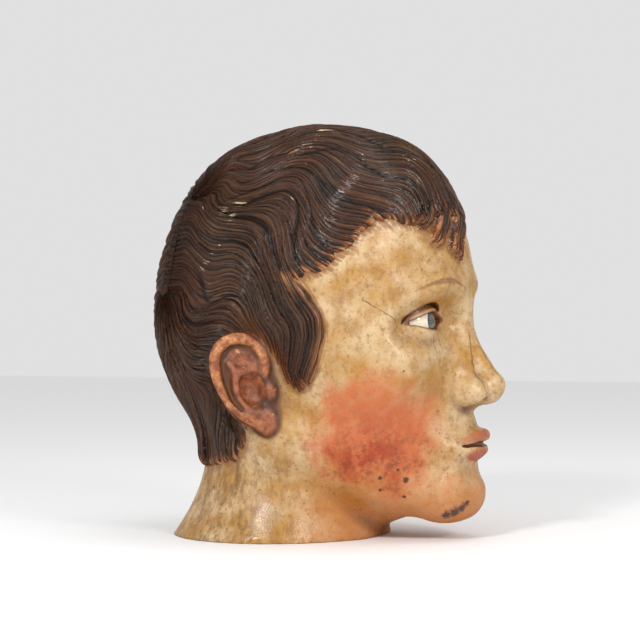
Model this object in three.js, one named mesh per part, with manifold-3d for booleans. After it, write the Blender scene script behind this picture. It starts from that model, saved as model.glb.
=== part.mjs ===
// The head of a carved and painted wooden saint's figure, with set-in glass eyes, cut flat through the neck.
// Millimetres, +Z up, the face towards -Y. The origin is on the flat underside, a little in front of its middle.
// Both sides are alike apart from the locks over the forehead, so most forms are worked out for x >= 0 and mirrored.
import * as THREE from "three";
import { mergeVertices } from "three/addons/utils/BufferGeometryUtils.js";
import Module from "manifold-3d";

const wasm = await Module();
wasm.setup();

// Driving dimensions of the head, from the canon of three equal face thirds below the hairline.
const SKULL_HEIGHT = 236;
const FACE_THIRD = SKULL_HEIGHT / 3.5;
const HEAD_WIDTH = 153;
const EYE_SPACING = HEAD_WIDTH * 0.42;
const EYE_RADIUS = 12.3;
const LID_THICKNESS = 2.2;
const EYE_GAP = 0.3;
const HAIR_THICKNESS = 6;
const CHIN_TILT = THREE.MathUtils.degToRad(5);

// Heights in the face's own frame, which has its origin in the head at eye level.
const CHIN = -SKULL_HEIGHT / 2;
const NOSE_BASE = CHIN + FACE_THIRD;
const BROW = NOSE_BASE + FACE_THIRD;
const MOUTH = NOSE_BASE - FACE_THIRD / 3;
const LIP_FRONT = -93.5;

// How far in front of the face's origin the middle of the eyes lies.
const EYE_DEPTH = -70.5;

// Places in the part's frame.
const CRANIUM = [0, -13, 143];
const FACE_ORIGIN = [0, -13, 120];
const NAPE_HEIGHT = 44;
const NECK_TOP = 105;

// The ear's middle, how far it stands off the head and how far its top leans back.
const EAR = { centre: [73, 3, 90], turn: THREE.MathUtils.degToRad(30), lean: THREE.MathUtils.degToRad(14) };

// The hairline: angle round the head in degrees, from the front to the back, and height.
const HAIRLINE = [
  [0, 188], [10, 189], [20, 190], [33, 187], [45, 184], [53, 178], [58, 169], [65, 160], [69.5, 152],
  [70, 140], [67.5, 124], [68, 118], [70, 106], [72.5, 94], [75, 90], [79, 88], [84, 93], [90, 108],
  [96, 115], [103, 100], [105, 63], [118, 47], [140, 43], [180, 43],
];
const CHART_RADIUS = 80;
const HAIR_EDGE = HAIRLINE.map(([angle, height]) => [THREE.MathUtils.degToRad(angle) * CHART_RADIUS, height]);

// The locks that hang over the forehead, seen from in front: root and tip as side and height, and half width at both.
const FRINGE = [
  { root: [3, 196], tip: [-19, 165], wide: 8, narrow: 5 },
  { root: [-16, 198], tip: [-33, 170], wide: 7, narrow: 4 },
  { root: [-29, 198], tip: [-42, 180], wide: 6, narrow: 3.5 },
];
const FRINGE_TOP = 200;
const FRINGE_THICKNESS = 4.6;

// How finely the surface is sampled, along rays from a point inside. They crowd round the nose and the mouth.
const RAY_CENTRE = new THREE.Vector3(0, -14, 108);
const RAY_DETAIL = 14;
const CROWD_DIRECTION = new THREE.Vector3(0, -90, -46).normalize();
const CROWD_STRENGTH = 0.62;
const CROWD_WIDTH = THREE.MathUtils.degToRad(50);
const COLLAR = { top: 30, sink: 4, sides: 42, rings: 4, inset: 2, reach: 4 };
const NECK_BLEND = 12;
const FAR = 240;
const MARCH_STEP = 1.5;
const BISECTIONS = 16;

const clamp01 = (t) => Math.min(1, Math.max(0, t));
const lerp = THREE.MathUtils.lerp;

// Smooth union and smooth intersection of two distances, blended over k millimetres.
function join(a, b, k) {
  const h = Math.max(k - Math.abs(a - b), 0) / k;
  return Math.min(a, b) - (h * h * k) / 4;
}

function common(a, b, k) {
  return -join(-a, -b, k);
}

function cut(a, b, k) {
  return common(a, -b, k);
}

function ellipsoid([x, y, z], [cx, cy, cz], [rx, ry, rz]) {
  const qx = (x - cx) / rx;
  const qy = (y - cy) / ry;
  const qz = (z - cz) / rz;
  const k0 = Math.hypot(qx, qy, qz);
  const k1 = Math.hypot(qx / rx, qy / ry, qz / rz) + 1e-9;
  return (k0 * (k0 - 1)) / k1;
}

// A round bar from a to b whose radius goes from ra to rb.
function capsule([x, y, z], [ax, ay, az], [bx, by, bz], ra, rb) {
  const ab = [bx - ax, by - ay, bz - az];
  const ap = [x - ax, y - ay, z - az];
  const t = clamp01((ap[0] * ab[0] + ap[1] * ab[1] + ap[2] * ab[2]) / (ab[0] ** 2 + ab[1] ** 2 + ab[2] ** 2));
  return Math.hypot(ap[0] - t * ab[0], ap[1] - t * ab[1], ap[2] - t * ab[2]) - lerp(ra, rb, t);
}

function chain(p, points, radii) {
  let d = Infinity;
  for (let i = 0; i + 1 < points.length; i++) {
    d = Math.min(d, capsule(p, points[i], points[i + 1], radii[i], radii[i + 1]));
  }
  return d;
}

function mirrored([x, y, z]) {
  return [Math.abs(x), y, z];
}

function toFace([x, y, z]) {
  const c = Math.cos(CHIN_TILT);
  const s = Math.sin(CHIN_TILT);
  const dy = y - FACE_ORIGIN[1];
  const dz = z - FACE_ORIGIN[2];
  return [x, dy * c - dz * s, dy * s + dz * c];
}

function fromFace([x, y, z]) {
  const c = Math.cos(CHIN_TILT);
  const s = Math.sin(CHIN_TILT);
  return [x, FACE_ORIGIN[1] + y * c + z * s, FACE_ORIGIN[2] - y * s + z * c];
}

function skull(p) {
  const at = (dy, dz) => [0, CRANIUM[1] + dy, CRANIUM[2] + dz];
  let d = ellipsoid(p, at(6, 4), [74, 84, 91]);
  d = join(d, ellipsoid(p, at(-34, 12), [62, 52, 74]), 30);
  return join(d, ellipsoid(p, at(30, -24), [62, 58, 62]), 24);
}

function faceMass(f) {
  let d = ellipsoid(f, [0, -30, -28], [60, 58, 88]);
  d = join(d, ellipsoid(f, [0, -34, 28], [63, 53, 62]), 20);
  d = join(d, ellipsoid(f, [47, -50, -24], [17, 27, 17]), 20);
  d = join(d, capsule(f, [50, 0, -62], [17, -72, CHIN + 19], 14, 15), 22);
  d = join(d, ellipsoid(f, [0, -78, CHIN + 17], [20, 17, 16]), 14);
  return join(d, ellipsoid(f, [0, -66, -70], [28, 28, 26]), 16);
}

function neck(p) {
  const [x, y, z] = p;
  const flare = clamp01((NAPE_HEIGHT - z) / NAPE_HEIGHT);
  const cy = 4 + 6 * flare ** 1.6 - 0.1 * Math.max(z - NAPE_HEIGHT, 0);
  const rx = 57 + 15 * flare ** 1.8;
  const ry = 50 + 13 * flare ** 1.6;
  const shaft = (Math.hypot(x / rx, (y - cy) / ry) - 1) * Math.min(rx, ry);
  const muscle = capsule(p, [56, 2, 72], [20, -36, 0], 12, 10);
  return join(common(shaft, z - NECK_TOP, 10), muscle, 16);
}

function browAndSockets(d, f) {
  d = join(d, chain(f, [[10, -84, BROW - 2], [28, -83, BROW + 3], [46, -69, BROW + 2]], [7, 6.5, 5]), 14);
  d = cut(d, ellipsoid(f, [29, -96, -1], [17, 16, 11.5]), 12);
  d = cut(d, ellipsoid(f, [50, -90, -3], [14, 20, 10]), 12);
  return cut(d, ellipsoid(f, [16, -97, -2], [7, 10, 12]), 8);
}

function nose(d, f) {
  d = join(d, chain(f, [[0, -84, 12], [0, -90, -8], [0, -99, -28]], [6.5, 5.6, 7]), 11);
  d = join(d, capsule(f, [5, -86, -14], [10, -91, -38], 5, 7), 9);
  d = join(d, ellipsoid(f, [0, -104.5, NOSE_BASE + 11], [8.5, 9, 8.2]), 8);
  d = join(d, ellipsoid(f, [11.2, -94.5, NOSE_BASE + 7.5], [5.4, 9.5, 6.8]), 6);
  return join(d, capsule(f, [0, -92, NOSE_BASE + 1.5], [0, -104, NOSE_BASE + 5.5], 4, 4.2), 5);
}

// A place at the mouth, from the middle of the lips.
function atMouth(x, dy, dz) {
  return [x, LIP_FRONT + dy, MOUTH + dz];
}

function lips(d, f) {
  const upper = [atMouth(0, -2.6, 4.2), atMouth(7, -2.6, 4.8), atMouth(16, 2, 2.6), atMouth(25, 10, 0.4)];
  const lower = [atMouth(0, -0.6, -5.2), atMouth(10, 0.6, -4.6), atMouth(22, 8, -1.4)];
  d = join(d, chain(f, upper, [3.6, 3.8, 3, 1.4]), 4.5);
  d = join(d, chain(f, lower, [4.8, 4.4, 2]), 4.5);
  d = cut(d, capsule(f, atMouth(0, -7.5, 10), atMouth(0, -4.5, 19), 3, 2.2), 4);
  return cut(d, chain(f, [atMouth(0, -6, -15), atMouth(14, -1, -14)], [5, 3.5]), 9);
}

function lids(d, [x, y, z]) {
  const r = Math.hypot(x - EYE_SPACING / 2, y - EYE_DEPTH, z);
  return join(d, r - (EYE_RADIUS + LID_THICKNESS), 4);
}

// Millimetres inside the hairline, measured on the chart of angle round the head and height.
function hairDepth([x, y, z]) {
  const s = Math.atan2(x, -(y - CRANIUM[1])) * CHART_RADIUS;
  const line = [[-CHART_RADIUS, HAIR_EDGE[0][1]], ...HAIR_EDGE, [5 * CHART_RADIUS, HAIR_EDGE.at(-1)[1]]];
  let nearest = Infinity;
  let above = false;
  for (let i = 0; i + 1 < line.length; i++) {
    const [ax, az] = line[i];
    const [bx, bz] = line[i + 1];
    const t = clamp01(((s - ax) * (bx - ax) + (z - az) * (bz - az)) / ((bx - ax) ** 2 + (bz - az) ** 2));
    nearest = Math.min(nearest, Math.hypot(s - lerp(ax, bx, t), z - lerp(az, bz, t)));
    const spans = s >= Math.min(ax, bx) && s < Math.max(ax, bx);
    if (spans && z > az + ((bz - az) * (s - ax)) / (bx - ax)) above = !above;
  }
  return above ? nearest : -nearest;
}

// The hair stands proud of the skin, with a rounded edge at the hairline. It lies flat behind the ear.
function hairThickness(p) {
  const depth = hairDepth(p);
  const clearOfEar = THREE.MathUtils.smoothstep(Math.hypot((p[1] - 9) / 28, (p[2] - 90) / 38), 0.75, 1.15);
  const thickness = HAIR_THICKNESS * (0.55 * rounded(depth / 8) + 0.45 * clamp01(depth / 25));
  return thickness * clearOfEar;
}

// A rise from 0 to 1 along a quarter of a circle.
function rounded(t) {
  return Math.sqrt(1 - (1 - clamp01(t)) ** 2);
}

// Millimetres inside the outlines of the locks over the forehead, seen from in front.
function fringeDepth([x, , z]) {
  const depths = FRINGE.map(({ root, tip, wide, narrow }) => {
    const lock = new THREE.Vector2(tip[0] - root[0], tip[1] - root[1]);
    const from = new THREE.Vector2(x - root[0], z - root[1]);
    const along = from.dot(lock) / lock.length();
    const across = Math.abs(from.cross(lock)) / lock.length();
    return Math.min(lerp(wide, narrow, clamp01(along / lock.length())) - across, lock.length() - along);
  });
  return Math.max(...depths);
}

// The locks over the forehead come out of the hair above them.
function fringeThickness(p) {
  const inFront = p[1] < CRANIUM[1] && p[2] < FRINGE_TOP;
  if (!inFront) return 0;
  const hang = THREE.MathUtils.smoothstep(FRINGE_TOP - p[2], 0, 16);
  return hang * FRINGE_THICKNESS * rounded(fringeDepth(p) / 4);
}

// Distance from the carved surface of the bust, without the ears. The neck runs on below the cut.
function bust(p, shaft = neck(mirrored(p))) {
  const m = mirrored(p);
  const f = toFace(m);
  let d = join(join(skull(m), faceMass(f), 26), shaft, NECK_BLEND);
  d = browAndSockets(d, f);
  d = nose(d, f);
  d = lips(d, f);
  return lids(d, f) - Math.max(hairThickness(m), fringeThickness(p));
}

// The bust with a neck that is slightly too thin inside the collar.
function bustInCollar(p) {
  return bust(p, neck(mirrored(p)) + COLLAR.inset * Math.max(0, (COLLAR.top - p[2]) / (COLLAR.top / 2)));
}

// The foot of the neck, without the jaw that hangs in front of it.
function foot(p) {
  const shaft = neck(mirrored(p));
  return Math.max(bust(p, shaft), shaft - COLLAR.reach);
}

// How far along a ray a form ends.
function reach(form, from, direction) {
  const at = (r) => form(direction.clone().multiplyScalar(r).add(from).toArray());
  let outside = FAR;
  while (at(outside - MARCH_STEP) > 0) outside -= MARCH_STEP;
  let inside = outside - MARCH_STEP;
  for (let i = 0; i < BISECTIONS; i++) {
    const middle = (inside + outside) / 2;
    if (at(middle) > 0) outside = middle;
    else inside = middle;
  }
  return inside;
}

// A geometry with positions only, and its shared corners merged.
function bareOf(geometry) {
  const bare = geometry.clone();
  bare.deleteAttribute("normal");
  bare.deleteAttribute("uv");
  return mergeVertices(bare, 1e-4);
}

// A three.js geometry as a solid for cutting and joining.
function solidOf(geometry) {
  const merged = bareOf(geometry);
  return new wasm.Manifold(
    new wasm.Mesh({
      numProp: 3,
      vertProperties: new Float32Array(merged.attributes.position.array),
      triVerts: new Uint32Array(merged.index.array),
    }),
  );
}

function geometryOf(solid) {
  const { vertProperties, triVerts } = solid.getMesh();
  const geometry = new THREE.BufferGeometry();
  geometry.setAttribute("position", new THREE.BufferAttribute(new Float32Array(vertProperties), 3));
  geometry.setIndex(new THREE.BufferAttribute(new Uint32Array(triVerts), 1));
  geometry.computeVertexNormals();
  return geometry;
}

function box(size, centre) {
  return solidOf(new THREE.BoxGeometry(...size).translate(...centre));
}

// A direction turned towards the crowded one, by less the further away it is.
function crowded(direction) {
  const angle = direction.angleTo(CROWD_DIRECTION);
  const turn = 1 - CROWD_STRENGTH * Math.exp(-((angle / CROWD_WIDTH) ** 2));
  const axis = new THREE.Vector3().crossVectors(CROWD_DIRECTION, direction).normalize();
  return CROWD_DIRECTION.clone().applyAxisAngle(axis, angle * turn);
}

// The bust's outer surface: a geodesic sphere whose points are moved out to the carved surface.
function bustShell() {
  const geometry = bareOf(new THREE.IcosahedronGeometry(1, RAY_DETAIL));
  const positions = geometry.attributes.position;
  const point = new THREE.Vector3();
  for (let i = 0; i < positions.count; i++) {
    const direction = crowded(point.fromBufferAttribute(positions, i).normalize());
    point.copy(direction).multiplyScalar(reach(bustInCollar, RAY_CENTRE, direction)).add(RAY_CENTRE);
    positions.setXYZ(i, point.x, point.y, point.z);
  }
  return solidOf(geometry);
}

// The foot of the neck: a cylinder whose rings are moved out to the carved surface, down to below the cut.
function collar() {
  const height = COLLAR.top + COLLAR.sink;
  const cylinder = new THREE.CylinderGeometry(1, 1, height, COLLAR.sides, COLLAR.rings).rotateX(Math.PI / 2);
  const geometry = bareOf(cylinder.translate(0, 0, height / 2 - COLLAR.sink));
  const positions = geometry.attributes.position;
  for (let i = 0; i < positions.count; i++) {
    const [x, y, z] = [positions.getX(i), positions.getY(i), positions.getZ(i)];
    const radius = Math.hypot(x, y) > 0.5 ? reach(foot, new THREE.Vector3(0, 0, z), new THREE.Vector3(x, y, 0)) : 0;
    positions.setXYZ(i, x * radius, y * radius, z);
  }
  return solidOf(geometry);
}

// Frame of the right-hand side's ear: x towards its back edge, y up along it, z out of it. side is 1 or -1.
function earMatrix(side) {
  const matrix = new THREE.Matrix4().makeTranslation(...EAR.centre);
  const out = new THREE.Vector3(Math.cos(EAR.turn), -Math.sin(EAR.turn), 0);
  const back = new THREE.Vector3(Math.sin(EAR.turn), Math.cos(EAR.turn), 0);
  const up = new THREE.Vector3(0, 0, 1);
  matrix.multiply(new THREE.Matrix4().makeBasis(back, up, out));
  matrix.multiply(new THREE.Matrix4().makeRotationZ(-EAR.lean));
  return new THREE.Matrix4().makeScale(side, 1, 1).multiply(matrix);
}

function egg(centre, radii, rings = 6) {
  return solidOf(new THREE.SphereGeometry(1, rings * 2, rings).scale(...radii).translate(...centre));
}

// A round bar along a smooth curve through the points, with rounded ends.
function bar(points, radius, steps) {
  const curve = new THREE.CatmullRomCurve3(points.map((p) => new THREE.Vector3(...p)));
  const section = new THREE.Shape().absarc(0, 0, radius, 0, Math.PI * 2, false);
  const along = { steps, extrudePath: curve, bevelEnabled: false, curveSegments: 3 };
  const rod = solidOf(new THREE.ExtrudeGeometry(section, along));
  return rod.add(egg(points[0], [radius, radius, radius], 4)).add(egg(points.at(-1), [radius, radius, radius], 4));
}

function ear(side) {
  const helix = [
    [-9, 1, 1.5], [-13, 8, 1.8], [-12.5, 18, 2], [-6, 26, 2.5], [4, 28, 3], [12.5, 23, 3.6],
    [15.5, 12, 4.2], [14, 0, 4.4], [9.5, -11, 4], [3, -19, 2.6], [-4, -24, 1.6],
  ];
  const antihelix = [[3, -13, 2.6], [6.2, -7, 3.2], [6.6, 2, 3.4], [4.5, 9, 3], [7, 15, 2.4]];
  const made = egg([1, 3, -0.5], [15, 25, 4], 7)
    .add(egg([-6, 2, -9], [11, 21, 11]))
    .add(egg([-6, -22, 0.5], [7.5, 8.5, 4.2]))
    .add(bar(helix, 3, 14))
    .subtract(egg([-2.5, -3.5, 5.5], [8.2, 10.5, 9], 5))
    .subtract(egg([-1.5, 14, 6.5], [5.5, 5, 5], 5))
    .add(bar(antihelix, 2, 6))
    .add(egg([-11.5, -6, 0], [3.4, 5.6, 4.6], 5))
    .add(egg([0.5, -15.5, 1.4], [4.8, 3, 3], 5));
  const placed = geometryOf(made).applyMatrix4(earMatrix(side));
  if (side < 0) turnFacesRound(placed);
  return solidOf(placed);
}

function turnFacesRound(geometry) {
  const index = geometry.index.array;
  for (let i = 0; i < index.length; i += 3) [index[i + 1], index[i + 2]] = [index[i + 2], index[i + 1]];
}

// A solid made in the face's frame, moved to a place there and turned into the part's frame.
function inFace(solid, place) {
  return solidOf(geometryOf(solid).rotateX(-CHIN_TILT).translate(...fromFace(place)));
}

// A half globe, flat at the back, at the middle of one eye.
function halfGlobe(side, radius, flatBack) {
  const globe = solidOf(new THREE.SphereGeometry(radius, 18, 10).rotateX(Math.PI / 2));
  const half = globe.subtract(box([60, 60, 60], [0, 30 + flatBack, 0]));
  return inFace(half, [(side * EYE_SPACING) / 2, EYE_DEPTH, 0]);
}

// The slot between the lips, from corner to corner.
function mouthLine() {
  const half = [atMouth(8, -3.2, 0.6), atMouth(17, 1.2, 0), atMouth(25.5, 8.6, -0.4)];
  const otherHalf = half.map(([x, y, z]) => [-x, y, z]).reverse();
  return inFace(bar([...otherHalf, atMouth(0, -4.2, 0.1), ...half], 1.4, 14), [0, 0, 0]);
}

function nostril(side) {
  return inFace(egg([side * 7.2, -98, NOSE_BASE - 0.5], [3.2, 6, 5], 5), [0, 0, 0]);
}

// The opening between the lids: an almond outline extruded forwards from the eye's middle.
function almond(side) {
  const outline = new THREE.Shape();
  outline.moveTo(-14, -0.8);
  outline.quadraticCurveTo(-1, 13.6, 14.8, 1);
  outline.quadraticCurveTo(2, -10.6, -14, -0.8);
  const slab = bareOf(new THREE.ExtrudeGeometry(outline, { depth: 40, bevelEnabled: false, curveSegments: 10 }));
  slab.rotateX(Math.PI / 2).translate(0, -2, 0).scale(side, 1, 1);
  if (side < 0) turnFacesRound(slab);
  return inFace(solidOf(slab), [(side * EYE_SPACING) / 2, EYE_DEPTH, 0]);
}

const paintedWood = new THREE.MeshStandardMaterial({ name: "painted_wood", color: 0xcda97e, roughness: 0.45, metalness: 0 });
const eyeGlass = new THREE.MeshStandardMaterial({ name: "eye_glass", color: 0xc9c7b4, roughness: 0.08, metalness: 0 });

const SIDES = { right: -1, left: 1 };

function carvedHead() {
  let solid = bustShell().add(collar());
  for (const side of Object.values(SIDES)) {
    solid = solid.add(ear(side));
    solid = solid.subtract(halfGlobe(side, EYE_RADIUS + EYE_GAP, EYE_GAP));
    solid = solid.subtract(almond(side)).subtract(nostril(side));
  }
  solid = solid.subtract(mouthLine()).subtract(box([400, 400, 200], [0, 0, -100]));
  const mesh = new THREE.Mesh(geometryOf(solid), paintedWood);
  mesh.name = "head";
  return mesh;
}

function glassEye(name, side) {
  const mesh = new THREE.Mesh(geometryOf(halfGlobe(side, EYE_RADIUS, 0)), eyeGlass);
  mesh.name = "glass_eye_" + name;
  return mesh;
}

const santosHead = new THREE.Group();
santosHead.add(carvedHead());
for (const [name, side] of Object.entries(SIDES)) santosHead.add(glassEye(name, side));

export default santosHead;
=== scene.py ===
# A life-size carved and painted wooden head with set-in glass eyes, cut flat through the neck.
import math
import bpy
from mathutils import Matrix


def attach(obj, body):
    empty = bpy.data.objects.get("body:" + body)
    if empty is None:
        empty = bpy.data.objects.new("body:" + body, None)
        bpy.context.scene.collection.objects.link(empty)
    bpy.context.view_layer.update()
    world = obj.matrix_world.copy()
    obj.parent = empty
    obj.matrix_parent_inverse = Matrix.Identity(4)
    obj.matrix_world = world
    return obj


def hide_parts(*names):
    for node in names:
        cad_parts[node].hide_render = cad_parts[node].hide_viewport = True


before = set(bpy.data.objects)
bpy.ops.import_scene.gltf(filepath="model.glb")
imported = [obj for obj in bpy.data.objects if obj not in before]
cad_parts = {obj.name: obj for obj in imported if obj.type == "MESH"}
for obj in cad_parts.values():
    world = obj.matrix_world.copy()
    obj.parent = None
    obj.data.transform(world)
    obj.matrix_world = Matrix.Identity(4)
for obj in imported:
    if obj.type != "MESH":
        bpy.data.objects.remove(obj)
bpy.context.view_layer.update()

from concurrent.futures import ThreadPoolExecutor

import bpy
import numpy as np
from mathutils import Vector

# Driving dimensions in millimetres, from the canon of three equal face thirds below the hairline.
SKULL_HEIGHT = 236.0
FACE_THIRD = SKULL_HEIGHT / 3.5
HEAD_WIDTH = 153.0
EYE_SPACING = 0.42 * HEAD_WIDTH
EYE_RADIUS = 12.3
IRIS_RADIUS = 5.8
CORNEA_RISE = 1.1
LID_THICKNESS = 2.2
HAIR_THICKNESS = 6.0
CHIN_TILT = math.radians(5)

# Heights in the face's own frame, which has its origin in the head at eye level.
CHIN = -SKULL_HEIGHT / 2
NOSE_BASE = CHIN + FACE_THIRD
BROW = NOSE_BASE + FACE_THIRD
MOUTH = NOSE_BASE - FACE_THIRD / 3
LIP_FRONT = -93.5
EYE_DEPTH = -70.5

# Places in the row frame.
CRANIUM = (0.0, -13.0, 143.0)
FACE_ORIGIN = (0.0, -13.0, 120.0)
NAPE_HEIGHT = 44.0
NECK_TOP = 105.0
EAR_CENTRE = (73.0, 3.0, 90.0)
EAR_TURN = math.radians(30)
EAR_LEAN = math.radians(14)

# The hairline: angle round the head in degrees, from the front to the back, and height.
HAIRLINE = [
    (0, 188), (10, 189), (18, 187), (27, 183), (36, 182), (46, 184), (53, 178), (58, 169), (65, 160),
    (69.5, 155), (76, 152.5), (82, 153), (78, 147.5), (73, 140), (69.5, 132), (67.5, 124), (68, 118),
    (70, 110), (70.5, 102), (72.5, 94), (75, 90), (79, 88), (84, 93), (87, 101), (90, 108), (96, 115),
    (103, 100), (105, 63), (118, 47), (140, 43), (180, 43),
]
CHART_RADIUS = 80.0
FRONT_EDGE = [
    (50, 183), (61, 170), (67, 157), (70, 147), (70, 139), (68, 130), (68, 118), (70, 106), (74, 92),
    (82, 60),
]

# The strands of hair run out in waves from a whorl at the back of the crown and a parting below it.
WHORL = np.array([-0.50, 0.63, 0.59]) / np.linalg.norm([-0.50, 0.63, 0.59])
PARTING = 60.0
PARTING_SWAY = 2.5
HEAD_RADIUS = 96.0
RIDGES = 320
LOCKS = 36
RIDGE_DEPTH = 1.1
LOCK_DEPTH = 1.8
WAVE_HEIGHT = 7.0
WAVE_BULGE = 0.6
SWEEP = 0.45
FORWARD = math.radians(-20)

# How the waves change down the right side: start angle, distance of the first crest, and length.
WAVE_STARTS = (-1.9, -1.6, -1.35, -0.9, -0.3)
WAVE_CRESTS = (62.0, 70.0, 69.0, 74.0, 88.0)
WAVE_LENGTHS = (59.0, 69.0, 76.0, 66.0, 56.0)

# The corner of the hairline at the temple, below which the strands turn down into the sideburn.
TEMPLE_ANGLE = math.radians(70)
TEMPLE_HEIGHT = 150.0
TEMPLE_RADIUS = 75.0
TEMPLE_DROP = 70.0
TEMPLE_STEPS = 15

# The locks over the forehead, seen from in front: root and tip, and half the width at each.
FRINGE = [
    ((3, 196), (-19, 165), 8, 5),
    ((-16, 198), (-33, 170), 7, 4),
    ((-29, 198), (-42, 180), 6, 3.5),
]
FRINGE_TOP = 200.0
FRINGE_THICKNESS = 4.6

# How finely the form is sampled, and how many triangles are kept.
GRID_LOW = np.array([-90.25, -134.25, -3.25])
GRID_HIGH = np.array([90.0, 102.0, 250.0])
STEP = 0.5
BLOCK = 4
CHUNK = 60000
TRIANGLES = 197000

# Cracks in the face's own frame: the ends of each, and its half width.
FACE_CRACKS = [
    ((-6, -92, -8), (-10, -97, -30), 0.12),
    ((-10, -97, -30), (-11, -98, -44), 0.12),
    ((-2, -99, -18), (-3, -108, -40), 0.1),
    ((-33, -84, -9), (-34, -82, -20), 0.1),
    ((-27, -84, -10), (-27, -83, -17), 0.08),
]

# The camera: its height and side offset are those at which the photograph shows the head.
VIEW_AZIMUTH = math.radians(-70)
PICTURE_WIDTH = 640
MM_PER_PIXEL = 0.6
PICTURE_CENTRE = (0.0, -15.1, 127.8)
LENS = 115.0
SENSOR = 36.0
CAMERA_DISTANCE = PICTURE_WIDTH * MM_PER_PIXEL * LENS / SENSOR

# Damage, at places in the picture in pixels. Lost paint also has the radius of each patch in millimetres.
WORM_HOLES = [
    (255, 143), (308, 163), (291, 236), (308, 258), (180, 266), (196, 299), (197, 331), (317, 298),
]
WORM_RADIUS = 0.9
BARE_GROUND = [
    (224, 210, 5), (239, 206, 5), (232, 216, 3.5), (204, 209, 2), (226, 241, 2), (219, 245, 1.5),
    (213, 251, 2), (205, 265, 3.5), (322, 130, 3), (332, 132, 3.5), (378, 168, 2), (383, 181, 2.5),
    (291, 199, 1.5),
]
RED_GROUND = [
    (256, 139, 3.5), (293, 151, 3.5), (283, 160, 2.5), (238, 153, 2), (352, 176, 4), (310, 284, 5),
    (346, 246, 5),
]
SKIN_CHIPS = [
    (406, 480, 2.4), (380, 478, 1.6), (462, 508, 4), (455, 512, 5), (447, 515, 4.5), (467, 503, 2.5),
    (497, 403, 1.6), (490, 410, 1.3), (398, 470, 1.2), (404, 497, 1.4), (380, 490, 1.2),
]


def blend(a, b, k):
    """Two forms as one, with a soft seam k wide."""
    h = np.maximum(k - np.abs(a - b), 0) / k
    return np.minimum(a, b) - h * h * (k / 4)


def blended_max(a, b, k):
    return -blend(-a, -b, k)


def cut(form, tool, k):
    return blended_max(form, -tool, k)


def length(x, y, z):
    return np.sqrt(x * x + y * y + z * z)


def step_up(value, low, high):
    """0 below low, 1 above high and smooth between."""
    t = np.clip((value - low) / (high - low), 0, 1)
    return t * t * (3 - 2 * t)


def ellipsoid(p, centre, radii):
    q = [(p[i] - centre[i]) / radii[i] for i in range(3)]
    k0 = length(*q)
    k1 = length(*[q[i] / radii[i] for i in range(3)]) + 1e-9
    return k0 * (k0 - 1) / k1


def capsule(p, a, b, ra, rb):
    """A round bar from a to b whose radius goes from ra to rb."""
    ab = [b[i] - a[i] for i in range(3)]
    ap = [p[i] - a[i] for i in range(3)]
    t = (ap[0] * ab[0] + ap[1] * ab[1] + ap[2] * ab[2]) / (ab[0] ** 2 + ab[1] ** 2 + ab[2] ** 2)
    t = np.clip(t, 0, 1)
    return length(*[ap[i] - t * ab[i] for i in range(3)]) - (ra + (rb - ra) * t)


def chain(p, points, radii):
    bars = [capsule(p, *ends, *sizes) for ends, sizes in zip(zip(points, points[1:]), zip(radii, radii[1:]))]
    return np.minimum.reduce(bars)


class Grain:
    """Smooth random values in space, the same on every run."""

    SIDE = 32

    def __init__(self, seed):
        self.table = np.random.default_rng(seed).uniform(-1, 1, self.SIDE ** 3).astype(np.float32)

    def __call__(self, x, y, z):
        cells = []
        parts = []
        for value in (x, y, z):
            floor = np.floor(value)
            part = value - floor
            cells.append(floor.astype(np.int32))
            parts.append(part * part * (3 - 2 * part))
        total = 0
        for corner in range(8):
            offset = [(corner >> axis) & 1 for axis in range(3)]
            i, j, k = [(cells[axis] + offset[axis]) & (self.SIDE - 1) for axis in range(3)]
            weight = 1
            for axis in range(3):
                weight = weight * (parts[axis] if offset[axis] else 1 - parts[axis])
            total = total + weight * self.table[(i * self.SIDE + j) * self.SIDE + k]
        return total


drift_grain = Grain(1)
depth_grain = Grain(2)
skin_grain = Grain(3)


def to_face(p):
    y = p[1] - FACE_ORIGIN[1]
    z = p[2] - FACE_ORIGIN[2]
    c, s = math.cos(CHIN_TILT), math.sin(CHIN_TILT)
    return [p[0], y * c - z * s, y * s + z * c]


def from_face(x, y, z):
    c, s = math.cos(CHIN_TILT), math.sin(CHIN_TILT)
    return (x, FACE_ORIGIN[1] + y * c + z * s, FACE_ORIGIN[2] - y * s + z * c)


def skull(m):
    def at(dy, dz):
        return (0, CRANIUM[1] + dy, CRANIUM[2] + dz)

    d = ellipsoid(m, at(6, 4), (74, 84, 91))
    d = blend(d, ellipsoid(m, at(-34, 12), (62, 52, 74)), 30)
    return blend(d, ellipsoid(m, at(30, -24), (62, 58, 62)), 24)


def face_mass(f):
    d = ellipsoid(f, (0, -30, -28), (60, 58, 88))
    d = blend(d, ellipsoid(f, (0, -34, 28), (63, 53, 62)), 20)
    d = blend(d, ellipsoid(f, (47, -50, -24), (17, 27, 17)), 20)
    d = blend(d, capsule(f, (50, 0, -62), (17, -72, CHIN + 19), 14, 15), 22)
    d = blend(d, ellipsoid(f, (0, -78, CHIN + 17), (20, 17, 16)), 14)
    return blend(d, ellipsoid(f, (0, -66, -70), (28, 28, 26)), 16)


def neck(m):
    x, y, z = m
    flare = np.clip((NAPE_HEIGHT - z) / NAPE_HEIGHT, 0, 1)
    cy = 4 + 6 * flare ** 1.6 - 0.1 * np.maximum(z - NAPE_HEIGHT, 0)
    rx = 57 + 15 * flare ** 1.8
    ry = 50 + 13 * flare ** 1.6
    shaft = (np.sqrt((x / rx) ** 2 + ((y - cy) / ry) ** 2) - 1) * np.minimum(rx, ry)
    muscle = capsule(m, (56, 2, 72), (20, -36, 0), 12, 10)
    return blend(blended_max(shaft, z - NECK_TOP, 10), muscle, 16)


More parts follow.
